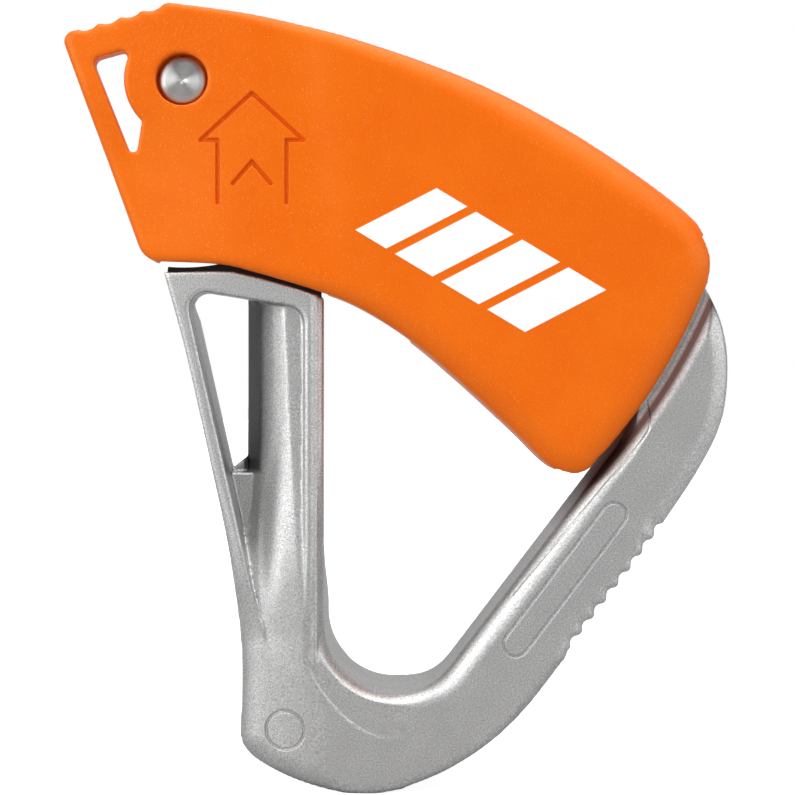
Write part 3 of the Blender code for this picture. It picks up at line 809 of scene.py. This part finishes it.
class Nodes:
    """A short way to write a material's nodes."""

    def __init__(self, name):
        self.material = bpy.data.materials.new(name)
        self.material.use_nodes = True
        self.tree = self.material.node_tree
        self.shader = self.tree.nodes["Principled BSDF"]

    def add(self, kind, **inputs):
        node = self.tree.nodes.new(kind)
        for name, value in inputs.items():
            self.put(node.inputs[name.replace("_", " ")], value)
        return node

    def put(self, socket, value):
        if isinstance(value, bpy.types.NodeSocket):
            self.tree.links.new(value, socket)
        else:
            socket.default_value = value

    def noise(self, size_mm, detail=2.0, roughness=0.5):
        """Noise whose lumps are about size_mm across, fixed to the object."""
        coordinate = self.add("ShaderNodeTexCoord").outputs["Object"]
        node = self.add("ShaderNodeTexNoise", Vector=coordinate, Scale=1.0 / (size_mm * MM), Detail=detail)
        node.inputs["Roughness"].default_value = roughness
        return node.outputs["Fac"]

    def ramp(self, value, low, high, start, end):
        node = self.add("ShaderNodeMapRange", Value=value)
        for name, number in (("From Min", low), ("From Max", high), ("To Min", start), ("To Max", end)):
            node.inputs[name].default_value = number
        return node.outputs["Result"]

    def mix(self, factor, first, second):
        node = self.tree.nodes.new("ShaderNodeMix")
        node.data_type = "RGBA"
        self.put(node.inputs[0], factor)
        self.put(node.inputs[6], first)
        self.put(node.inputs[7], second)
        return node.outputs[2]

    def bump(self, height, distance_mm, strength):
        node = self.add("ShaderNodeBump", Height=height, Distance=distance_mm * MM, Strength=strength)
        return node.outputs["Normal"]

    def vector(self, operation, first, second=None, output="Vector"):
        node = self.add("ShaderNodeVectorMath")
        node.operation = operation
        self.put(node.inputs[0], first)
        if second is not None:
            self.put(node.inputs[1], second)
        return node.outputs[output]

    def from_pivot(self):
        """The way out from the pivot's axis, with its length."""
        coordinate = self.add("ShaderNodeTexCoord").outputs["Object"]
        offset = self.vector("SUBTRACT", coordinate, (PIVOT[0] * MM, 0.0, PIVOT[1] * MM))
        return self.vector("MULTIPLY", offset, (1.0, 0.0, 1.0))

    def cove_painted_shade(self):
        """Painted shade and painted reflection of the orange arm in the knuckle's cove: a dark red-brown
        band about the pivot.

        It isn't limited in depth, so it also crosses the leg's inner side.
        """
        offset = self.from_pivot()
        reach = self.vector("LENGTH", offset, output="Value")
        rise = self.ramp(reach, (RECESS_REACH - 1.0) * MM, (RECESS_REACH - 0.2) * MM, 0.0, 1.0)
        fall = self.ramp(reach, (RECESS_REACH + 0.2) * MM, (RECESS_REACH + 1.1) * MM, 1.0, 0.0)
        side = self.along((1.0, 0.0, 0.0), 10.0, 13.0)
        return self.product(rise, fall, side)

    def channel_painted_shadow(self):
        """Painted shadow: the channel's outer wall seen through the window, painted nearly black where the
        left bar shades it.
        """
        left = self.along((-1.0, 0.0, 0.0), 13.2, 14.1)
        above = self.along((0.0, 0.0, 1.0), 15.0, 15.6)
        behind = self.along((0.0, 1.0, 0.0), -5.0, -4.4)
        before = self.along((0.0, -1.0, 0.0), -4.0, -1.0)
        not_bar = self.along((1.0, 0.0, 0.0), -15.9, -15.6)
        return self.product(left, above, behind, before, not_bar)

    def along(self, direction, start, end):
        """A step from 0 to 1 along a direction, between two distances from the frame's origin."""
        coordinate = self.add("ShaderNodeTexCoord").outputs["Object"]
        distance = self.vector("DOT_PRODUCT", coordinate, direction, output="Value")
        return self.ramp(distance, start * MM, end * MM, 0.0, 1.0)

    def product(self, *values):
        total = values[0]
        for value in values[1:]:
            node = self.add("ShaderNodeMath")
            node.operation = "MULTIPLY"
            self.put(node.inputs[0], total)
            self.put(node.inputs[1], value)
            total = node.outputs[0]
        return total

    def finish(self, **inputs):
        for name, value in inputs.items():
            self.put(self.shader.inputs[name.replace("_", " ")], value)
        return self.material


def cast_metal():
    """Bead-blasted casting: a fine pitted grain with brighter and darker specks."""
    nodes = Nodes("cast_metal")
    grain = nodes.noise(0.15, 2.0, 0.7)
    cloud = nodes.noise(3.0, 3.0, 0.5)
    speck = nodes.ramp(grain, 0.3, 0.7, 0.0, 1.0)
    colour = nodes.mix(speck, (0.34, 0.34, 0.338, 1.0), (0.84, 0.84, 0.836, 1.0))
    colour = nodes.mix(nodes.ramp(cloud, 0.35, 0.65, 0.0, 0.25), colour, (0.46, 0.46, 0.46, 1.0))
    # Painted shade and painted reflection: the cove band below the arm's edge, painted dark red-brown.
    colour = nodes.mix(nodes.cove_painted_shade(), colour, (0.10, 0.055, 0.048, 1.0))
    # Painted shadow: the shaded strip of the channel wall in the window, painted nearly black.
    colour = nodes.mix(nodes.channel_painted_shadow(), colour, (0.07, 0.07, 0.07, 1.0))
    rough = nodes.ramp(grain, 0.3, 0.7, 0.44, 0.34)
    normal = nodes.bump(grain, 0.05, 0.7)
    return nodes.finish(Base_Color=colour, Roughness=rough, Metallic=0.95, Normal=normal)


def arm_plastic():
    """Moulded nylon: satin, with a fine sparkle of pale specks."""
    nodes = Nodes("arm_nylon")
    grain = nodes.noise(0.14, 2.0, 0.6)
    cloud = nodes.noise(6.0, 2.0, 0.5)
    patches = nodes.ramp(cloud, 0.35, 0.65, 0.0, 1.0)
    base = nodes.mix(patches, (0.85, 0.132, 0.001, 1.0), (0.87, 0.148, 0.002, 1.0))
    specks = nodes.ramp(nodes.noise(0.11, 0.0), 0.66, 0.80, 0.0, 0.35)
    colour = nodes.mix(specks, base, (0.95, 0.42, 0.12, 1.0))
    normal = nodes.bump(grain, 0.02, 0.5)
    return nodes.finish(Base_Color=colour, Roughness=0.34, Specular_IOR_Level=0.5,
                        Specular_Tint=(1.0, 0.85, 0.35, 1.0), Normal=normal)


def print_white():
    """White ink, slightly rubbed."""
    nodes = Nodes("print_white")
    rubbed = nodes.noise(0.3, 2.0)
    share = nodes.ramp(rubbed, 0.3, 0.7, 0.0, 1.0)
    colour = nodes.mix(share, (0.93, 0.93, 0.93, 1.0), (0.98, 0.98, 0.98, 1.0))
    return nodes.finish(Base_Color=colour, Roughness=0.5, Normal=nodes.bump(rubbed, 0.01, 0.4))


def turned_steel():
    """Turned steel: fine rings about the pivot, which spread the highlight into a fan."""
    nodes = Nodes("turned_steel")
    flat = nodes.from_pivot()
    rings = nodes.add("ShaderNodeTexNoise", Scale=9000.0, Detail=3.0)
    rings.noise_dimensions = "1D"
    nodes.put(rings.inputs["W"], nodes.vector("LENGTH", flat, output="Value"))
    share = nodes.ramp(rings.outputs["Fac"], 0.3, 0.7, 0.0, 1.0)
    colour = nodes.mix(share, (0.527, 0.527, 0.527, 1.0), (0.62, 0.62, 0.62, 1.0))
    return nodes.finish(Base_Color=colour, Roughness=0.34, Metallic=1.0, Anisotropic=0.9,
                        Tangent=nodes.vector("NORMALIZE", flat),
                        Normal=nodes.bump(rings.outputs["Fac"], 0.01, 0.6))


def plain_metal(name, colour, rough):
    """The small metal parts: a drawn or stamped finish with a light grain."""
    nodes = Nodes(name)
    grain = nodes.noise(0.2, 3.0)
    dark = tuple(value * 0.8 for value in colour) + (1.0,)
    tone = nodes.mix(nodes.ramp(grain, 0.3, 0.7, 0.0, 1.0), dark, (*colour, 1.0))
    return nodes.finish(Base_Color=tone, Roughness=rough, Metallic=1.0, Normal=nodes.bump(grain, 0.01, 0.5))


def wear(piece, material):
    piece.data.materials.clear()
    piece.data.materials.append(material)


# The object.

CAST = cast_metal()
NYLON = arm_plastic()
TURNED = turned_steel()
DRAWN = plain_metal("drawn_steel", (0.6, 0.6, 0.6), 0.3)
# Painted shade: near-black steel, used only on the neck shims to darken the gap under the arm.
SHADE_BLACK = plain_metal("shade_black_steel", (0.03, 0.026, 0.026), 0.35)
BRONZE = plain_metal("bronze", (0.55, 0.38, 0.16), 0.38)


def place(piece, body, slot, node, material):
    wear(piece, material)
    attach(piece, body)
    if node is not None:
        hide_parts(node)


place(build_frame(), "frame_body", "cast_frame", "frame", CAST)
place(build_arm_front(), "arm_body", "arm_plastic", "arm_front_shell", NYLON)
place(build_arm_rear(), "arm_body", "arm_plastic", "arm_rear_shell", NYLON)
place(build_print(), "arm_body", "arm_plastic", None, print_white())
place(build_rivet(), "arm_body", "steel", "pivot_rivet", TURNED)
place(build_shade_shims(), "frame_body", "steel", None, SHADE_BLACK)
for rivet in ("insert_rivet_lower", "insert_rivet_upper"):
    place(build_insert_rivet(rivet), "frame_body", "steel", rivet, DRAWN)

CARRIED = {
    "toothed_insert": DRAWN,
    "pivot_bush": BRONZE,
    "thrust_washer_front": DRAWN,
    "thrust_washer_rear": DRAWN,
    "return_spring": DRAWN,
    "rivet_washer": DRAWN,
    "arm_pivot_cover": NYLON,
}
for name, material in CARRIED.items():
    wear(frame["nodes"][name], material)


# The stage.

def stage_plane(name, corners, material):
    data = bpy.data.meshes.new(name)
    data.from_pydata(corners, [], [(0, 1, 2, 3)])
    plane = add_object(name, data)
    wear(plane, material)


def pale_floor():
    """Pale paper, lit so that it runs into the white behind the object without a line."""
    nodes = Nodes("pale_floor")
    fibre = nodes.ramp(nodes.noise(2.0, 2.0), 0.3, 0.7, 0.40, 0.44)
    colour = nodes.add("ShaderNodeCombineColor", Red=fibre, Green=fibre, Blue=fibre).outputs[0]
    seen = nodes.add("ShaderNodeLightPath").outputs["Is Camera Ray"]
    return nodes.finish(Base_Color=colour, Roughness=0.9, Emission_Color=(1.0, 1.0, 1.0, 1.0),
                        Emission_Strength=nodes.ramp(seen, 0.0, 1.0, 0.0, 0.9))


def soft_light(name, place_mm, aim_mm, size_mm, watts):
    light = bpy.data.lights.new(name, "AREA")
    light.shape = "RECTANGLE"
    light.size, light.size_y = size_mm[0] * MM, size_mm[1] * MM
    light.energy = watts
    lamp = add_object(name, light)
    lamp.location = tuple(value * MM for value in place_mm)
    direction = Vector([a - b for a, b in zip(aim_mm, place_mm)])
    lamp.rotation_euler = direction.to_track_quat("-Z", "Y").to_euler()


def set_world():
    """A photo studio: white behind the object for the camera, and soft panels around it that light it."""
    world = bpy.data.worlds.new("studio")
    bpy.context.scene.world = world
    world.use_nodes = True
    tree = world.node_tree
    background = tree.nodes["Background"]
    direction = tree.nodes.new("ShaderNodeTexCoord").outputs["Generated"]

    def math_node(operation, first, second):
        node = tree.nodes.new("ShaderNodeMath")
        node.operation = operation
        for socket, value in zip(node.inputs, (first, second)):
            if isinstance(value, bpy.types.NodeSocket):
                tree.links.new(value, socket)
            else:
                socket.default_value = value
        return node.outputs[0]

    total = AMBIENT
    for toward, edge, core, strength in PANELS:
        dot = tree.nodes.new("ShaderNodeVectorMath")
        dot.operation = "DOT_PRODUCT"
        tree.links.new(direction, dot.inputs[0])
        dot.inputs[1].default_value = Vector(toward).normalized()
        fade = tree.nodes.new("ShaderNodeMapRange")
        fade.interpolation_type = "SMOOTHSTEP"
        tree.links.new(dot.outputs["Value"], fade.inputs["Value"])
        fade.inputs["From Min"].default_value = math.cos(math.radians(edge))
        fade.inputs["From Max"].default_value = math.cos(math.radians(core))
        total = math_node("ADD", total, math_node("MULTIPLY", fade.outputs["Result"], strength))
    path = tree.nodes.new("ShaderNodeLightPath")
    mix = tree.nodes.new("ShaderNodeMix")
    mix.data_type = "FLOAT"
    tree.links.new(path.outputs["Is Camera Ray"], mix.inputs[0])
    tree.links.new(total, mix.inputs[2])
    mix.inputs[3].default_value = 1.0
    tree.links.new(mix.outputs[0], background.inputs["Strength"])
    background.inputs["Color"].default_value = (1.0, 1.0, 1.0, 1.0)


def add_camera():
    """Straight in front, at the object's mid-height, close enough for some perspective."""
    camera = bpy.data.cameras.new("camera")
    camera.sensor_width = 36.0
    camera.lens = 79.8
    camera.clip_start = 0.01
    camera.clip_end = 20.0
    stand = add_object("camera", camera)
    stand.location = (0.35 * MM, -185.0 * MM, 22.92 * MM)
    stand.rotation_euler = (math.radians(90), 0.0, 0.0)
    bpy.context.scene.camera = stand


# Each soft panel: its direction from the object, the angles at its faded edge and its core, its strength.
PANELS = [
    ((0.0, -1.0, 0.0), 40.0, 14.0, 0.10),
    ((-0.85, -0.53, 0.12), 43.0, 26.0, 2.0),
    ((0.85, -0.53, 0.0), 43.0, 26.0, 1.5),
    ((0.1, -0.25, 1.0), 44.0, 24.0, 2.9),
    ((0.0, -0.45, -0.9), 45.0, 20.0, 0.4),
    ((0.25, 1.0, 0.35), 70.0, 20.0, 0.55),
]
AMBIENT = 0.03

FLOOR = CAD_BOX[0][2] - 0.1 * MM
FAR = 3.0
stage_plane("floor", [(x, y, FLOOR) for x, y in rectangle(-FAR, FAR, -FAR, FAR)], pale_floor())
set_world()
soft_light("key", (-150.0, -190.0, 110.0), (0.0, 0.0, 25.0), (110.0, 110.0), 0.10)
add_camera()
bpy.context.scene.view_settings.view_transform = "Standard"
